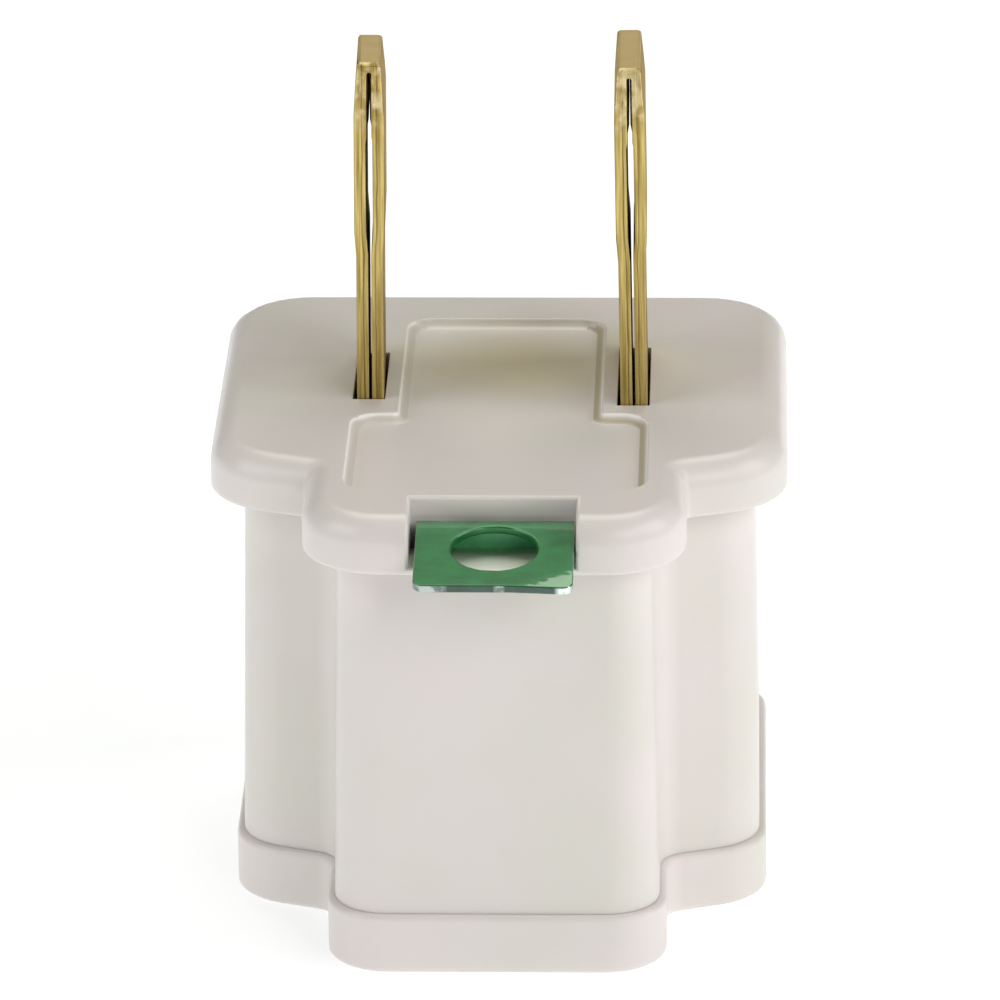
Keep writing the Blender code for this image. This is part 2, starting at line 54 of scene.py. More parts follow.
# The lights stand this far from the middle of the adapter, and the table reaches this far.
LIGHT_DISTANCE = 0.6
TABLE_REACH = 4.0

# Levels and places of the CAD model that the finish follows.
PLUG_FACE = 23.26 * mm
FLANGE_UNDERSIDE = 20.56 * mm
SEAM_TOP = 2.98 * mm
SEAM_DROP = 0.047 * mm
PANEL_WALL_FOOT = PLUG_FACE - 0.45 * mm
PANEL_HALF_WIDTH = 7.2 * mm
PANEL_REACH = 15.4 * mm
BLADE_HALF_SPACING = 6.35 * mm
SLOT_HALF_WIDTH = 1 * mm
SLOT_HALF_LENGTH = 4.3 * mm
NOTCH_HALF_WIDTH = 3.95 * mm
NOTCH_BACK = -16.2 * mm
NOTCH_HIDDEN = -17.3 * mm
NOTCH_SILL = 20.9 * mm

# What lies within this height of a level counts as on it.
LEVEL = 0.03 * mm

# Upright parts of face normals: the hollow's sloping wall lies between the first two, the body's
# drafted walls lie between the next two, and a face above the last one is level.
STEEPEST_HOLLOW = 0.1
FLATTEST_HOLLOW = 0.99
LEAST_DRAFT = 0.005
MOST_DRAFT = 0.1
LEVEL_FACE = 0.9

# Least parts of face normals towards the front, and towards a strip's side, its tip's cut corners and
# its fold.
FRONT_FACE = 0.99
SIDE_FACE = 0.7
CUT_FACE = 0.3
FOLD_FACE = 0.3

# Most of a sheared edge's normal that lies along the tab's thickness.
TAB_EDGE_FACE = 0.5

# The plug face's patch of painted warm light, reflected off the brass blades: its middle and its half
# lengths.
BOUNCE_LIGHT_MIDDLE = (0.9 * mm, 2.8 * mm, PLUG_FACE)
BOUNCE_LIGHT_REACH = (8.5 * mm, 6.8 * mm, 1.5 * mm)

# Heights between which the painted shade on the hollow's wall ends and the painted highlight on its rim
# starts, and the places from left to right between which the painted shade grows.
WALL_SHADE_HEIGHTS = (PLUG_FACE - 0.34 * mm, PLUG_FACE - 0.14 * mm)
RIM_HIGHLIGHT_HEIGHTS = (PLUG_FACE - 0.2 * mm, PLUG_FACE - 0.08 * mm)
WALL_SHADE_PLACES = (-5 * mm, 4 * mm)

# Where each folded strip's blade leaves the plug face, and how it is turned.
HOT_PLACE = Vector((-BLADE_HALF_SPACING, 0, PLUG_FACE))
HOT_TURN = (0, math.radians(0.4), math.radians(1.5))
NEUTRAL_PLACE = Vector((BLADE_HALF_SPACING, 0, PLUG_FACE))
NEUTRAL_TURN = (0, math.radians(-0.75), math.radians(0.6))
HOT_SLIT = 0.31 * mm
NEUTRAL_SLIT = 0.32 * mm
BASE_SLIT = 0.14 * mm
BOW_START = 7.2 * mm
BOW_FULL = 8.4 * mm
LOOP_START = 12.8 * mm
TIP_START = 14.6 * mm
HIDDEN_DEPTH = 2.5 * mm
SLIT_REACH = 0.2 * mm

# The step on the sheared sides, painted dark as the shade along it: where it rises and falls, counted
# outwards from the slit, and how far it sways. The press's dents, with painted highlights on them, grow
# between the two heights that follow.
STEP_RISE = (0.15 * mm, 0.19 * mm)
STEP_FALL = (0.2 * mm, 0.27 * mm)
STEP_SWAY = 0.035 * mm
WORKED_HEIGHTS = (TIP_START - 1.4 * mm, TIP_START + 0.4 * mm)

# The tab's screw hole, and where its leg starts.
HOLE_MIDDLE = Vector((0.11, -19.42)) * mm
HOLE_REACH = 2.2 * mm
LEG_TOP = 21.8 * mm
LEG_FRONT = -17.2 * mm

# Burrs on the tab's front end, where painted glints go: middle, half length, and how bare and bright the
# metal is.
TAB_BURR_GLINTS = ((-2.8 * mm, 0.65 * mm, 0.6), (0.42 * mm, 0.22 * mm, 0.7), (3.4 * mm, 0.36 * mm, 1.0))

# The tab's slope, and the corner of it that was bent down a little by handling.
TAB_TILT = math.radians(8.5)
BENT_CORNER_LINE = (Vector((3.9, -20.95, 0)) * mm, Vector((0.7, -22.9, 0)) * mm)
BENT_CORNER_TURN = math.radians(4.5)

# Radii of the rounded edges, and the steps in each.
WIDEST_ROUND = 0.18 * mm
NOTCH_ROUND = 0.18 * mm
PANEL_ROUND = 0.1 * mm
JOINT_ROUND = 0.12 * mm
SLOT_ROUND = 0.05 * mm
SEAM_ROUND = 0.035 * mm
SILL_ROUND = 0.05 * mm
STRIP_ROUND = 0.1 * mm
SLIT_ROUND = 0.08 * mm
LOOP_ROUND = 0.045 * mm
TAB_ROUND = 0.07 * mm
HOLE_ROUND = 0.1 * mm
ROUND_STEPS = 3

# Full strength of the even shading, which lets the large faces set it.
FACE_AREA_WEIGHT = 100

# Points closer than this are one point, faces flatter than this are one face.
JOIN_DISTANCE = 0.002 * mm
FLAT_ANGLE = math.radians(0.3)
SHARP_ANGLE = math.radians(30)

# Sockets of a Mix node, which share their names: the two colours and their mix, and the two numbers
# and theirs.
COLOUR_A = 6
COLOUR_B = 7
COLOUR_MIX = 2
NUMBER_A = 2
NUMBER_B = 3
NUMBER_MIX = 0

# Places of the finishes in each piece's list of materials.
HOUSING_BODY, HOUSING_HOLLOW, HOUSING_NOTCH = range(3)
STRIP_ROLLED, STRIP_SHEARED, STRIP_FOLD = range(3)
TAB_FACE, TAB_EDGE, TAB_LEG = range(3)


def linear(hex_colour):
    """Linear RGBA of an sRGB colour written as six hex digits."""
    channels = [int(hex_colour[i:i + 2], 16) / 255 for i in (0, 2, 4)]
    return [c / 12.92 if c <= 0.04045 else ((c + 0.055) / 1.055) ** 2.4 for c in channels] + [1.0]


def per(size_mm):
    """Texture scale whose features repeat every size_mm on Object coordinates."""
    return 1 / (size_mm * mm)


def add_node(tree, kind, inputs, **settings):
    """Adds a node: settings are its properties, inputs its sockets' values or outputs to link to them."""
    node = tree.nodes.new("ShaderNode" + kind)
    for name, value in settings.items():
        setattr(node, name, value)
    for socket, value in inputs.items():
        if isinstance(value, bpy.types.NodeSocket):
            tree.links.new(value, node.inputs[socket])
        else:
            node.inputs[socket].default_value = value
    return node


def new_surface(name):
    """A material with its tree, its Principled shader and its Object coordinates."""
    material = bpy.data.materials.new(name)
    material.use_nodes = True
    tree = material.node_tree
    shader = tree.nodes["Principled BSDF"]
    coordinates = add_node(tree, "TexCoord", {})
    return material, tree, shader, coordinates


def set_camera():
    """The photograph's view, as a plain camera without shift or depth of field."""
    flat = math.cos(CAMERA_ELEVATION)
    back = Vector((
        math.sin(CAMERA_AZIMUTH) * flat,
        -math.cos(CAMERA_AZIMUTH) * flat,
        math.sin(CAMERA_ELEVATION)))
    right = Vector((math.cos(CAMERA_AZIMUTH), math.sin(CAMERA_AZIMUTH), 0))
    turn = Matrix((right, back.cross(right), back)).transposed()
    turn = turn @ Matrix.Rotation(CAMERA_ROLL, 3, "Z")
    data = bpy.data.cameras.new("camera")
    data.lens = CAMERA_LENS
    data.sensor_width = SENSOR_WIDTH
    data.clip_start = NEAREST_SEEN
    data.clip_end = FARTHEST_SEEN
    camera = bpy.data.objects.new("camera", data)
    camera.matrix_world = Matrix.Translation(CAMERA_TARGET + back * CAMERA_DISTANCE) @ turn.to_4x4()
    bpy.context.scene.collection.objects.link(camera)
    bpy.context.scene.camera = camera


def softbox(name, azimuth, elevation, size, power, hex_colour):
    """A square area light that faces the middle of the adapter."""
    data = bpy.data.lights.new(name, "AREA")
    data.shape = "SQUARE"
    data.size = size
    data.energy = power
    data.color = linear(hex_colour)[:3]
    light = bpy.data.objects.new(name, data)
    a = math.radians(azimuth)
    e = math.radians(elevation)
    away = Vector((math.sin(a) * math.cos(e), -math.cos(a) * math.cos(e), math.sin(e)))
    light.location = CAMERA_TARGET + away * LIGHT_DISTANCE
    light.rotation_euler = away.to_track_quat("Z", "Y").to_euler()
    bpy.context.scene.collection.objects.link(light)


def set_lights():
    """A tent of pale cloth: large soft lights on both sides and behind, a weak one in front."""
    world = bpy.data.worlds.new("studio")
    bpy.context.scene.world = world
    world.use_nodes = True
    background = world.node_tree.nodes["Background"]
    background.inputs["Color"].default_value = linear("FFFFF0")
    background.inputs["Strength"].default_value = 0.12
    softbox("left", -68, 32, 0.4, 1.3, "FFFDFF")
    softbox("right", 80, 30, 0.4, 1.45, "FFFAFF")
    softbox("front", 36, 30, 0.3, 0.85, "FFFFFA")
    softbox("back", 180, 60, 0.36, 1.15, "FFFFF4")
    bpy.context.scene.view_settings.view_transform = "Standard"


def make_floor():
    """White acrylic table, lit from below so that it stays brighter than what stands on it."""
    bm = bmesh.new()
    bmesh.ops.create_grid(bm, x_segments=1, y_segments=1, size=TABLE_REACH)
    mesh = bpy.data.meshes.new("floor")
    bm.to_mesh(mesh)
    bm.free()
    floor = bpy.data.objects.new("floor", mesh)
    bpy.context.scene.collection.objects.link(floor)
    material, _, shader, _ = new_surface("white_acrylic_table")
    shader.inputs["Base Color"].default_value = linear("F4F4F4")
    shader.inputs["Roughness"].default_value = 0.6
    shader.inputs["Emission Color"].default_value = linear("F7FCFF")
    shader.inputs["Emission Strength"].default_value = 0.43
    mesh.materials.append(material)


def moulded_plastic(name, hex_colour, hex_deep, seed, painted_hollow_light=False):
    """Polypropylene moulded in a finely spark-eroded tool: a satin surface that is never quite even, with
    painted warm light between the blades and, on the hollow's wall, painted shade and a painted highlight.
    """
    material, tree, shader, coordinates = new_surface(name)
    place = add_node(tree, "Mapping", {"Vector": coordinates.outputs["Object"], "Location": (seed, 0, 0)})
    spot = place.outputs["Vector"]
    cloud = add_node(tree, "TexNoise", {"Vector": spot, "Scale": per(7), "Detail": 3.0, "Roughness": 0.5})
    tint = add_node(tree, "MapRange", {
        "Value": cloud.outputs["Fac"], "From Min": 0.35, "From Max": 0.65, "To Min": 0.0, "To Max": 1.0})
    colour = add_node(tree, "Mix", {
        "Factor": tint.outputs["Result"],
        COLOUR_A: linear(hex_colour), COLOUR_B: linear(hex_deep)}, data_type="RGBA")

    # Painted warm light: the plug face is tinted yellow between the blades, where light reflected off the
    # brass falls.
    bounce_place = add_node(tree, "Mapping", {
        "Vector": coordinates.outputs["Object"], "Location": BOUNCE_LIGHT_MIDDLE, "Scale": BOUNCE_LIGHT_REACH},
        vector_type="TEXTURE")
    away = add_node(tree, "VectorMath", {0: bounce_place.outputs["Vector"]}, operation="LENGTH")
    bounce_light = add_node(tree, "MapRange", {
        "Value": away.outputs["Value"], "From Min": 0.2, "From Max": 1.0, "To Min": 0.8, "To Max": 0.0},
        interpolation_type="SMOOTHSTEP")
    painted_light_colour = add_node(tree, "Mix", {
        "Factor": bounce_light.outputs["Result"],
        COLOUR_A: colour.outputs[COLOUR_MIX], COLOUR_B: linear("DFD3B4")}, data_type="RGBA")
    if painted_hollow_light:
        # Painted shade at the foot of the hollow's wall, deeper on the right where it faces away from the
        # key light, and a painted highlight along the hollow's rim.
        height = add_node(tree, "SeparateXYZ", {"Vector": coordinates.outputs["Object"]})
        foot = add_node(tree, "MapRange", {
            "Value": height.outputs["Z"], "From Min": WALL_SHADE_HEIGHTS[0], "From Max": WALL_SHADE_HEIGHTS[1],
            "To Min": 1.0, "To Max": 0.0}, interpolation_type="SMOOTHSTEP")
        side = add_node(tree, "MapRange", {
            "Value": height.outputs["X"], "From Min": WALL_SHADE_PLACES[0], "From Max": WALL_SHADE_PLACES[1],
            "To Min": 0.25, "To Max": 0.9})
        wall_shade = add_node(tree, "Math", {
            0: foot.outputs["Result"], 1: side.outputs["Result"]}, operation="MULTIPLY")
        wall_shaded = add_node(tree, "Mix", {
            "Factor": wall_shade.outputs["Value"],
            COLOUR_A: painted_light_colour.outputs[COLOUR_MIX], COLOUR_B: linear("BDB294")}, data_type="RGBA")
        rim = add_node(tree, "MapRange", {
            "Value": height.outputs["Z"], "From Min": RIM_HIGHLIGHT_HEIGHTS[0], "From Max": RIM_HIGHLIGHT_HEIGHTS[1],
            "To Min": 0.0, "To Max": 1.0}, interpolation_type="SMOOTHSTEP")
        painted_light_colour = add_node(tree, "Mix", {
            "Factor": rim.outputs["Result"],
            COLOUR_A: wall_shaded.outputs[COLOUR_MIX], COLOUR_B: linear("FFFCF6")}, data_type="RGBA")

    # A few dark specks of burnt plastic and dust, about 0.2 mm across, in few of the 2.6 mm cells.
    dots = add_node(tree, "TexVoronoi", {"Vector": spot, "Scale": per(2.6)}, feature="F1")
    dot = add_node(tree, "MapRange", {
        "Value": dots.outputs["Distance"], "From Min": 0.02, "From Max": 0.05,
        "To Min": 1.0, "To Max": 0.0})
    rare = add_node(tree, "Math", {0: dots.outputs["Color"], 1: 0.88}, operation="GREATER_THAN")
    speck = add_node(tree, "Math", {
        0: dot.outputs["Result"], 1: rare.outputs["Value"]}, operation="MULTIPLY")
    fade = add_node(tree, "Math", {0: speck.outputs["Value"], 1: 0.35}, operation="MULTIPLY")
    speckled = add_node(tree, "Mix", {
        "Factor": fade.outputs["Value"],
        COLOUR_A: painted_light_colour.outputs[COLOUR_MIX], COLOUR_B: linear("8C7F70")}, data_type="RGBA")
    tree.links.new(speckled.outputs[COLOUR_MIX], shader.inputs["Base Color"])

    # The tool's spark-eroded grain is about 0.12 mm wide and a few microns deep.
    grain = add_node(tree, "TexNoise", {"Vector": spot, "Scale": per(0.12), "Detail": 2.0})
    gloss = add_node(tree, "MapRange", {
        "Value": cloud.outputs["Fac"], "From Min": 0.3, "From Max": 0.7, "To Min": 0.278, "To Max": 0.32})
    tree.links.new(gloss.outputs["Result"], shader.inputs["Roughness"])
    fine = add_node(tree, "Bump", {
        "Height": grain.outputs["Fac"], "Strength": 0.2, "Distance": 0.005 * mm})

    # Slow sinks of the cooling wall, about 6 mm wide and a few hundredths of a millimetre deep.
    sink = add_node(tree, "TexNoise", {"Vector": spot, "Scale": per(6), "Detail": 1.0})
    sunk = add_node(tree, "Bump", {
        "Height": sink.outputs["Fac"], "Strength": 0.6, "Distance": 0.06 * mm,
        "Normal": fine.outputs["Normal"]})
    tree.links.new(sunk.outputs["Normal"], shader.inputs["Normal"])
    shader.inputs["IOR"].default_value = 1.49
    shader.inputs["Subsurface Weight"].default_value = 0.2
    shader.inputs["Subsurface Radius"].default_value = (1.0, 0.8, 0.6)
    shader.inputs["Subsurface Scale"].default_value = 0.6 * mm
    return material


def rolled_brass(name, seed):
    """Cold-rolled face of the strip: a dull satin with faint lines and a thin tarnish."""
    material, tree, shader, coordinates = new_surface(name)
    place = add_node(tree, "Mapping", {
        "Vector": coordinates.outputs["Object"], "Location": (seed, 0, 0),
        "Scale": (per(0.12), per(0.12), per(5.0))})
    lines = add_node(tree, "TexNoise", {"Vector": place.outputs["Vector"], "Scale": 1.0, "Detail": 3.0})
    cloud = add_node(tree, "TexNoise", {
        "Vector": coordinates.outputs["Object"], "Scale": per(2.5), "Detail": 4.0, "Roughness": 0.6})
    spread = add_node(tree, "MapRange", {
        "Value": cloud.outputs["Fac"], "From Min": 0.4, "From Max": 0.75, "To Min": 0.0, "To Max": 1.0})
    colour = add_node(tree, "Mix", {
        "Factor": spread.outputs["Result"],
        COLOUR_A: linear("C4B283"), COLOUR_B: linear("AC9560")}, data_type="RGBA")
    tree.links.new(colour.outputs[COLOUR_MIX], shader.inputs["Base Color"])
    gloss = add_node(tree, "MapRange", {
        "Value": lines.outputs["Fac"], "From Min": 0.3, "From Max": 0.7, "To Min": 0.4, "To Max": 0.55})
    tree.links.new(gloss.outputs["Result"], shader.inputs["Roughness"])
    bump = add_node(tree, "Bump", {
        "Height": lines.outputs["Fac"], "Strength": 0.25, "Distance": 0.008 * mm})
    tree.links.new(bump.outputs["Normal"], shader.inputs["Normal"])
    shader.inputs["Metallic"].default_value = 1.0
    shader.inputs["Specular Tint"].default_value = linear("B9A98A")
    return material


def sheared_brass(name, place, turn, slit):
    """Sheared side of the strip: drawn lines along the cut, with a step between shear and break painted
    dark as shade.
    """
    material, tree, shader, coordinates = new_surface(name)
    spot = add_node(tree, "Mapping", {
        "Vector": coordinates.outputs["Object"], "Location": place, "Rotation": turn},
        vector_type="TEXTURE")
    parts = add_node(tree, "SeparateXYZ", {"Vector": spot.outputs["Vector"]})

    # The step follows the slit, which widens where the leaves bow apart.
    half = add_node(tree, "MapRange", {
        "Value": parts.outputs["Z"], "From Min": BOW_START, "From Max": BOW_FULL,
        "To Min": BASE_SLIT / 2, "To Max": slit / 2})
    across = add_node(tree, "Math", {0: parts.outputs["X"]}, operation="ABSOLUTE")
    wave = add_node(tree, "Mapping", {
        "Vector": spot.outputs["Vector"], "Scale": (per(0.6), per(0.6), per(2.4))})
    drift = add_node(tree, "TexNoise", {"Vector": wave.outputs["Vector"], "Scale": 1.0, "Detail": 2.0})
    sway = add_node(tree, "MapRange", {
        "Value": drift.outputs["Fac"], "From Min": 0.3, "From Max": 0.7,
        "To Min": -STEP_SWAY, "To Max": STEP_SWAY})
    from_slit = add_node(tree, "Math", {
        0: across.outputs["Value"], 1: half.outputs["Result"]}, operation="SUBTRACT")
    depth = add_node(tree, "Math", {
        0: from_slit.outputs["Value"], 1: sway.outputs["Result"]}, operation="ADD")
    rise = add_node(tree, "MapRange", {
        "Value": depth.outputs["Value"], "From Min": STEP_RISE[0], "From Max": STEP_RISE[1],
        "To Min": 0.0, "To Max": 1.0}, interpolation_type="SMOOTHSTEP")
    fall = add_node(tree, "MapRange", {
        "Value": depth.outputs["Value"], "From Min": STEP_FALL[0], "From Max": STEP_FALL[1],
        "To Min": 1.0, "To Max": 0.0}, interpolation_type="SMOOTHSTEP")
    step = add_node(tree, "Math", {
        0: rise.outputs["Result"], 1: fall.outputs["Result"]}, operation="MULTIPLY")

    drawn = add_node(tree, "Mapping", {
        "Vector": spot.outputs["Vector"], "Scale": (per(0.13), per(0.5), per(4.0))})
    lines = add_node(tree, "TexNoise", {"Vector": drawn.outputs["Vector"], "Scale": 1.0, "Detail": 3.0})
    shade = add_node(tree, "MapRange", {
        "Value": lines.outputs["Fac"], "From Min": 0.35, "From Max": 0.68, "To Min": 0.0, "To Max": 1.0})
    colour = add_node(tree, "Mix", {
        "Factor": shade.outputs["Result"],
        COLOUR_A: linear("DCC67E"), COLOUR_B: linear("A8904F")}, data_type="RGBA")
    # Painted shade along the step.
    fade = add_node(tree, "Math", {0: step.outputs["Value"], 1: 0.75}, operation="MULTIPLY")
    step_shaded = add_node(tree, "Mix", {
        "Factor": fade.outputs["Value"],
        COLOUR_A: colour.outputs[COLOUR_MIX], COLOUR_B: linear("7A6430")}, data_type="RGBA")

    # Near the tip the press has burnished and dented the cut; cream spots beside the dark ones are painted
    # highlights.
    worked = add_node(tree, "MapRange", {
        "Value": parts.outputs["Z"], "From Min": WORKED_HEIGHTS[0], "From Max": WORKED_HEIGHTS[1],
        "To Min": 0.0, "To Max": 1.0}, interpolation_type="SMOOTHSTEP")
    dents = add_node(tree, "TexNoise", {
        "Vector": spot.outputs["Vector"], "Scale": per(0.6), "Detail": 1.5, "Roughness": 0.5})
    cream_highlight = add_node(tree, "MapRange", {
        "Value": dents.outputs["Fac"], "From Min": 0.38, "From Max": 0.6, "To Min": 0.85, "To Max": 0.0})
    highlight_spots = add_node(tree, "Math", {
        0: worked.outputs["Result"], 1: cream_highlight.outputs["Result"]}, operation="MULTIPLY")
    cut_with_highlights = add_node(tree, "Mix", {
        "Factor": highlight_spots.outputs["Value"],
        COLOUR_A: step_shaded.outputs[COLOUR_MIX], COLOUR_B: linear("F8E8BA")}, data_type="RGBA")
    tree.links.new(cut_with_highlights.outputs[COLOUR_MIX], shader.inputs["Base Color"])
    gloss = add_node(tree, "MapRange", {
        "Value": lines.outputs["Fac"], "From Min": 0.3, "From Max": 0.7, "To Min": 0.28, "To Max": 0.48})
    rough = add_node(tree, "Mix", {
        "Factor": worked.outputs["Result"], NUMBER_A: gloss.outputs["Result"], NUMBER_B: 0.62})
    tree.links.new(rough.outputs[NUMBER_MIX], shader.inputs["Roughness"])
    drawing = add_node(tree, "Bump", {
        "Height": lines.outputs["Fac"], "Strength": 0.5, "Distance": 0.012 * mm})
    edge = add_node(tree, "Bump", {
        "Height": step.outputs["Value"], "Strength": 0.6, "Distance": 0.02 * mm,
        "Normal": drawing.outputs["Normal"]}, invert=True)
    dented = add_node(tree, "Bump", {
        "Strength": worked.outputs["Result"], "Height": dents.outputs["Fac"], "Distance": 0.11 * mm,
        "Normal": edge.outputs["Normal"]})
    tree.links.new(dented.outputs["Normal"], shader.inputs["Normal"])
    shader.inputs["Metallic"].default_value = 1.0
    return material


def coined_brass(name):
    """Outside of the fold, stretched by the press: matt and tan, with a skin like fine orange peel."""
    material, tree, shader, coordinates = new_surface(name)
    cloud = add_node(tree, "TexNoise", {
        "Vector": coordinates.outputs["Object"], "Scale": per(1.2), "Detail": 3.0, "Roughness": 0.6})
    colour = add_node(tree, "Mix", {
        "Factor": cloud.outputs["Fac"],
        COLOUR_A: linear("D8C596"), COLOUR_B: linear("C3AE7C")}, data_type="RGBA")
    tree.links.new(colour.outputs[COLOUR_MIX], shader.inputs["Base Color"])
    peel = add_node(tree, "TexNoise", {
        "Vector": coordinates.outputs["Object"], "Scale": per(0.15), "Detail": 2.0})
    bump = add_node(tree, "Bump", {"Height": peel.outputs["Fac"], "Strength": 0.3, "Distance": 0.01 * mm})
    tree.links.new(bump.outputs["Normal"], shader.inputs["Normal"])
    shader.inputs["Metallic"].default_value = 1.0
    shader.inputs["Roughness"].default_value = 0.72
    return material


def green_lacquer(name, hex_thin, hex_thick, waviness, metal, burr_glints=()):
    """Brass dipped in green transparent lacquer: metal glows through, and the gloss is sharp."""
    material, tree, shader, coordinates = new_surface(name)
    cloud = add_node(tree, "TexNoise", {
        "Vector": coordinates.outputs["Object"], "Scale": per(1.4), "Detail": 3.0, "Roughness": 0.6})
    pool = add_node(tree, "MapRange", {
        "Value": cloud.outputs["Fac"], "From Min": 0.35, "From Max": 0.65, "To Min": 0.0, "To Max": 1.0})
    colour = add_node(tree, "Mix", {
        "Factor": pool.outputs["Result"],
        COLOUR_A: linear(hex_thin), COLOUR_B: linear(hex_thick)}, data_type="RGBA")
    if burr_glints:
        # The lacquer has run off the burr of the cut in three places; the bare metal there is coloured near
        # white as painted glints.
        place = add_node(tree, "SeparateXYZ", {"Vector": coordinates.outputs["Object"]})
        ragged = add_node(tree, "TexNoise", {
            "Vector": coordinates.outputs["Object"], "Scale": per(0.5), "Detail": 2.0, "Roughness": 0.6})
        bare = 0.0
        for middle, half_length, strength in burr_glints:
            off = add_node(tree, "Math", {0: place.outputs["X"], 1: middle}, operation="SUBTRACT")
            far = add_node(tree, "Math", {0: off.outputs["Value"]}, operation="ABSOLUTE")
            near = add_node(tree, "MapRange", {
                "Value": far.outputs["Value"], "From Min": 0.6 * half_length, "From Max": 1.3 * half_length,
                "To Min": strength, "To Max": 0.0})
            widest = add_node(tree, "Math", {0: near.outputs["Result"], 1: bare}, operation="MAXIMUM")
            bare = widest.outputs["Value"]
        torn = add_node(tree, "MapRange", {
            "Value": ragged.outputs["Fac"], "From Min": 0.36, "From Max": 0.52,
            "To Min": 0.25, "To Max": 1.0})
        glint_mask = add_node(tree, "Math", {0: torn.outputs["Result"], 1: bare}, operation="MULTIPLY")
        colour = add_node(tree, "Mix", {
            "Factor": glint_mask.outputs["Value"],
            COLOUR_A: colour.outputs[COLOUR_MIX], COLOUR_B: linear("E8F6EE")}, data_type="RGBA")
        shine = add_node(tree, "MapRange", {
            "Value": glint_mask.outputs["Value"], "From Min": 0.0, "From Max": 1.0,
            "To Min": metal, "To Max": 1.0})
        tree.links.new(shine.outputs["Result"], shader.inputs["Metallic"])
    tree.links.new(colour.outputs[COLOUR_MIX], shader.inputs["Base Color"])
    runs = add_node(tree, "TexNoise", {
        "Vector": coordinates.outputs["Object"], "Scale": per(1.1), "Detail": 2.0})
    bump = add_node(tree, "Bump", {"Height": runs.outputs["Fac"], "Strength": 0.5, "Distance": waviness})
    tree.links.new(bump.outputs["Normal"], shader.inputs["Normal"])
    tree.links.new(bump.outputs["Normal"], shader.inputs["Coat Normal"])
    shader.inputs["Metallic"].default_value = metal
    shader.inputs["Roughness"].default_value = 0.3
    shader.inputs["Coat Weight"].default_value = 1.0
    shader.inputs["Coat Roughness"].default_value = 0.05
    return material


def plated_steel(name):
    """Zinc-plated steel of the rivet: grey, dull and slightly blotched."""
    material, tree, shader, coordinates = new_surface(name)
    cloud = add_node(tree, "TexNoise", {
        "Vector": coordinates.outputs["Object"], "Scale": per(0.8), "Detail": 4.0})
    colour = add_node(tree, "Mix", {
        "Factor": cloud.outputs["Fac"],
        COLOUR_A: linear("B9BCBE"), COLOUR_B: linear("8E9193")}, data_type="RGBA")
    tree.links.new(colour.outputs[COLOUR_MIX], shader.inputs["Base Color"])
    shader.inputs["Metallic"].default_value = 1.0
    shader.inputs["Roughness"].default_value = 0.35
    return material


def middle_of(edge):
    """Middle point of an edge."""
    return (edge.verts[0].co + edge.verts[1].co) / 2


def housing_round(edge):
    """Radius of one sharp edge of the housing; edges inside the body stay sharp."""
    x, y, z = middle_of(edge)
    if z > PLUG_FACE - LEVEL:
        if abs(abs(x) - BLADE_HALF_SPACING) < SLOT_HALF_WIDTH and abs(y) < SLOT_HALF_LENGTH:
            return SLOT_ROUND
        return NOTCH_ROUND if y < NOTCH_BACK and abs(x) < NOTCH_HALF_WIDTH else PANEL_ROUND
    if y < NOTCH_HIDDEN and abs(x) < NOTCH_HALF_WIDTH and z > NOTCH_SILL - LEVEL:
        return NOTCH_ROUND if z > NOTCH_SILL + LEVEL else SILL_ROUND
    drafted = any(LEAST_DRAFT < abs(face.normal.z) < MOST_DRAFT for face in edge.link_faces)
    if drafted and abs(z - FLANGE_UNDERSIDE) < LEVEL:
        return JOINT_ROUND
    return SEAM_ROUND if drafted and z < SEAM_TOP + LEVEL else 0


def strip_round(place, turn):
    """Gives the radius of each edge of a folded strip from its place along the blade."""
    inside = Matrix.LocRotScale(place, Euler(turn), None).inverted()

    def radius(edge):
        spot = inside @ middle_of(edge)
        if spot.z < -HIDDEN_DEPTH:
            return 0
        if abs(spot.x) < SLIT_REACH:
            return SLIT_ROUND if spot.z < LOOP_START else LOOP_ROUND
        return STRIP_ROUND

    return radius


def tab_round(edge):
    """Radius of one edge of the tab; its hidden leg stays sharp."""
    middle = middle_of(edge)
    if (middle.xy - HOLE_MIDDLE).length < HOLE_REACH:
        return HOLE_ROUND
    return TAB_ROUND if middle.y < NOTCH_HIDDEN else 0


def no_round(edge):
    """Leaves an edge sharp."""
    return 0


def one_finish(face):
    """Gives every face the piece's only finish."""
    return 0


def housing_finish(face):
    """The panel's hollow wall and the notch around the tab have finishes of their own, which carry painted
    shade and painted light.
    """
    x, y, z = face.calc_center_median()
    in_notch = abs(x) < NOTCH_HALF_WIDTH and y < NOTCH_BACK and z > NOTCH_SILL - LEVEL
    if in_notch and face.normal.y > -FRONT_FACE:
        return HOUSING_NOTCH if face.normal.z < LEVEL_FACE or z < NOTCH_SILL + LEVEL else HOUSING_BODY
    on_wall = z > PANEL_WALL_FOOT and STEEPEST_HOLLOW < face.normal.z < FLATTEST_HOLLOW
    in_panel = abs(x) < PANEL_HALF_WIDTH and -PANEL_REACH < y < PANEL_REACH / 2
    return HOUSING_HOLLOW if on_wall and in_panel else HOUSING_BODY


def strip_finish(place, turn):
    """Gives the finish of each face of a folded strip: rolled, sheared, or stretched over the fold."""
    inside = Matrix.LocRotScale(place, Euler(turn), None).inverted()
    unturned = inside.to_3x3()

    def finish(face):
        spot = inside @ face.calc_center_median()
        facing = unturned @ face.normal
        if spot.z > TIP_START and abs(facing.y) > CUT_FACE:
            return STRIP_SHEARED
        if spot.z > TIP_START and facing.z > FOLD_FACE:
            return STRIP_FOLD
        return STRIP_SHEARED if abs(facing.y) > SIDE_FACE else STRIP_ROLLED

    return finish


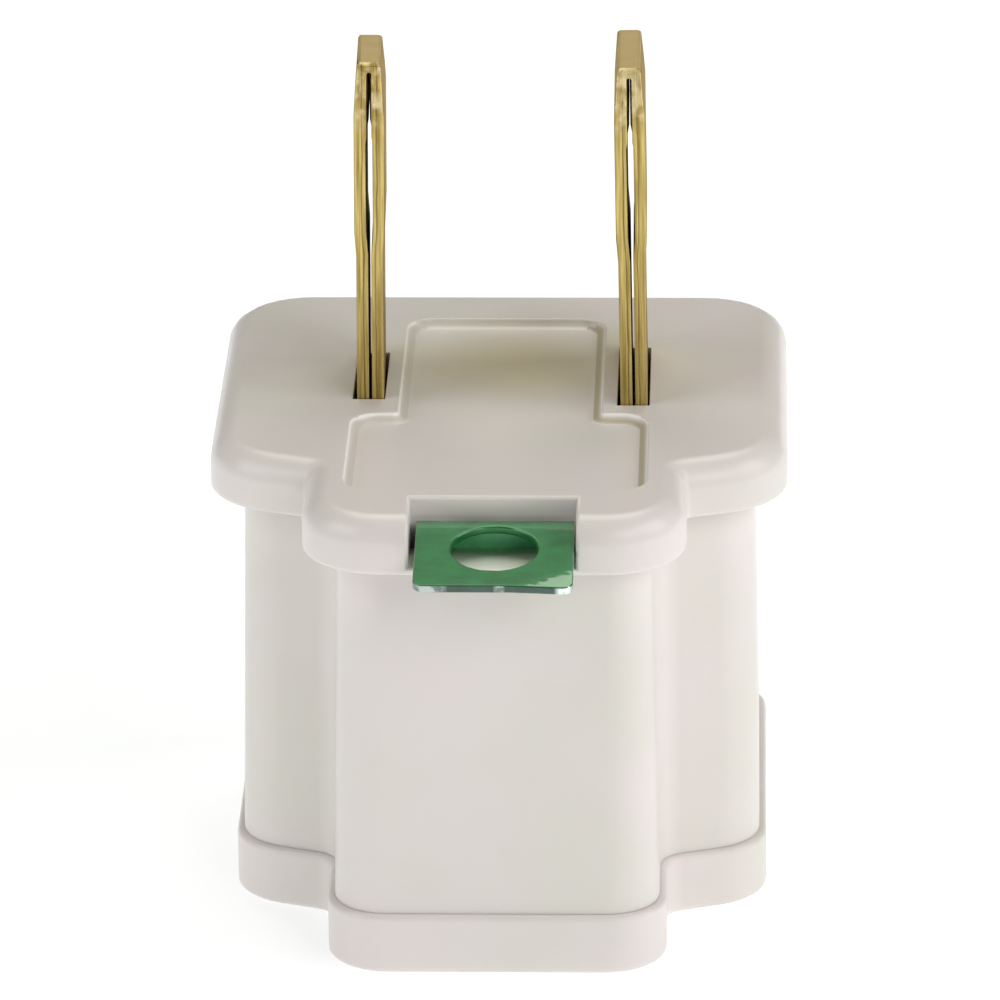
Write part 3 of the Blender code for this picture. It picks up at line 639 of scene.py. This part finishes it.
def tab_finish(face):
    """The lacquer is painted darker on the sheared outer edges, as a painted dark reflection, and paler
    down the leg, as painted light.
    """
    rolled = Vector((0, -math.sin(TAB_TILT), math.cos(TAB_TILT)))
    middle = face.calc_center_median()
    on_edge = abs(face.normal.dot(rolled)) < TAB_EDGE_FACE
    in_hole = (middle.xy - HOLE_MIDDLE).length < HOLE_REACH
    if on_edge and middle.z < LEG_TOP and middle.y > LEG_FRONT:
        return TAB_LEG
    return TAB_EDGE if on_edge and not in_hole else TAB_FACE


def close_seam(bm):
    """Lowers the housing's bottom edge until only a hair line is left above the cover."""
    for vert in bm.verts:
        if abs(vert.co.z - SEAM_TOP) < LEVEL:
            vert.co.z -= SEAM_DROP


def bend_corner(bm):
    """Bends the tab's right front corner down about a slanting line."""
    start, end = BENT_CORNER_LINE
    line = (end - start).normalized()
    beyond = line.cross(Vector((0, 0, 1)))
    beyond = beyond if beyond.y < 0 else -beyond
    near = [item for kind in (bm.verts, bm.edges, bm.faces) for item in kind]
    bmesh.ops.bisect_plane(bm, geom=near, dist=JOIN_DISTANCE / 10, plane_co=start, plane_no=beyond)
    outside = [
        vert for vert in bm.verts
        if (vert.co - start).dot(beyond) > JOIN_DISTANCE and vert.co.y < NOTCH_HIDDEN]
    level = sum(vert.co.z for vert in outside) / len(outside)
    hinge = Vector((start.x, start.y, level))
    turn = Matrix.Rotation(BENT_CORNER_TURN, 3, line if line.cross(beyond).z < 0 else -line)
    bmesh.ops.rotate(bm, cent=hinge, matrix=turn, verts=outside)


def dressed_copy(node, radius_of, finish_of, materials, reshape=None):
    """Stands for a CAD node: the same faces joined up, with its visible sharp edges rounded."""
    bm = bmesh.new()
    bm.from_mesh(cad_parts[node].data)
    bmesh.ops.remove_doubles(bm, verts=bm.verts, dist=JOIN_DISTANCE)
    bmesh.ops.dissolve_limit(bm, angle_limit=FLAT_ANGLE, verts=bm.verts, edges=bm.edges)
    if reshape is not None:
        reshape(bm)
    bm.normal_update()
    weight = bm.edges.layers.float.new("bevel_weight_edge")
    for edge in bm.edges:
        if edge.is_manifold and edge.calc_face_angle() > SHARP_ANGLE:
            edge[weight] = radius_of(edge) / WIDEST_ROUND
    for face in bm.faces:
        face.material_index = finish_of(face)
    mesh = bpy.data.meshes.new(node + "_finished")
    bm.to_mesh(mesh)
    bm.free()
    mesh.shade_smooth()
    piece = bpy.data.objects.new(node + "_finished", mesh)
    bpy.context.scene.collection.objects.link(piece)
    for material in materials:
        mesh.materials.append(material)
    rounding = piece.modifiers.new("rounded_edges", "BEVEL")
    rounding.affect = "EDGES"
    rounding.limit_method = "WEIGHT"
    rounding.width = WIDEST_ROUND
    rounding.segments = ROUND_STEPS
    rounding.profile = 0.5
    rounding.material = -1
    rounding.use_clamp_overlap = False
    joining = piece.modifiers.new("joined_points", "WELD")
    joining.merge_threshold = JOIN_DISTANCE
    shading = piece.modifiers.new("even_shading", "WEIGHTED_NORMAL")
    shading.weight = FACE_AREA_WEIGHT
    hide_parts(node)
    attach(piece, "root")


set_camera()
set_lights()
make_floor()

housing_plastic = moulded_plastic("moulded_polypropylene_housing", "E4DDDB", "DFDCD5", 0.0)
hollow_plastic = moulded_plastic("moulded_polypropylene_panel_wall", "E4DDDB", "DFDCD5", 0.2, painted_hollow_light=True)
# The notch and the tab's leg carry painted light: they are paler than the rest, and the notch has painted
# green light off the tab, because the photograph shows them brighter than these lights make them.
notch_plastic_painted_light = moulded_plastic("moulded_polypropylene_notch_painted_light", "F4F8EC", "EEF5E6", 0.3)
cover_plastic = moulded_plastic("moulded_polypropylene_cover", "E4DDDB", "DFDCD5", 0.4)
fold_brass = coined_brass("coined_brass_fold")
ground_brass = rolled_brass("rolled_brass_ground", 1.3)
tab_lacquer = green_lacquer("green_lacquered_brass", "1C7E40", "166C36", 0.03 * mm, 0.35)
# The edges' lacquer is painted dark as a painted reflection, and its bare burrs are coloured near white as
# painted glints.
edge_lacquer_painted_dark = green_lacquer("green_lacquered_brass_edges_painted_dark", "1D5242", "123A2E", 0.12 * mm, 0.1, TAB_BURR_GLINTS)
# The leg's lacquer is painted pale as painted light on the shaded leg.
leg_lacquer_painted_light = green_lacquer("green_lacquered_brass_leg_painted_light", "78D49A", "68C48A", 0.03 * mm, 0.3)
rivet_zinc = plated_steel("zinc_plated_steel")

dressed_copy(
    "housing", housing_round, housing_finish, [housing_plastic, hollow_plastic, notch_plastic_painted_light], close_seam)
dressed_copy("socket_cover", no_round, one_finish, [cover_plastic])
for node, place, turn, slit, seed in (
        ("hot_contact", HOT_PLACE, HOT_TURN, HOT_SLIT, 0.0),
        ("neutral_contact", NEUTRAL_PLACE, NEUTRAL_TURN, NEUTRAL_SLIT, 0.7)):
    dressed_copy(node, strip_round(place, turn), strip_finish(place, turn), [
        rolled_brass("rolled_brass_" + node, seed),
        sheared_brass("sheared_brass_" + node, place, turn, slit),
        fold_brass,
    ])
dressed_copy("ground_contact", no_round, one_finish, [ground_brass])
dressed_copy("ground_tab", tab_round, tab_finish, [tab_lacquer, edge_lacquer_painted_dark, leg_lacquer_painted_light], bend_corner)
dressed_copy("ground_rivet", no_round, one_finish, [rivet_zinc])
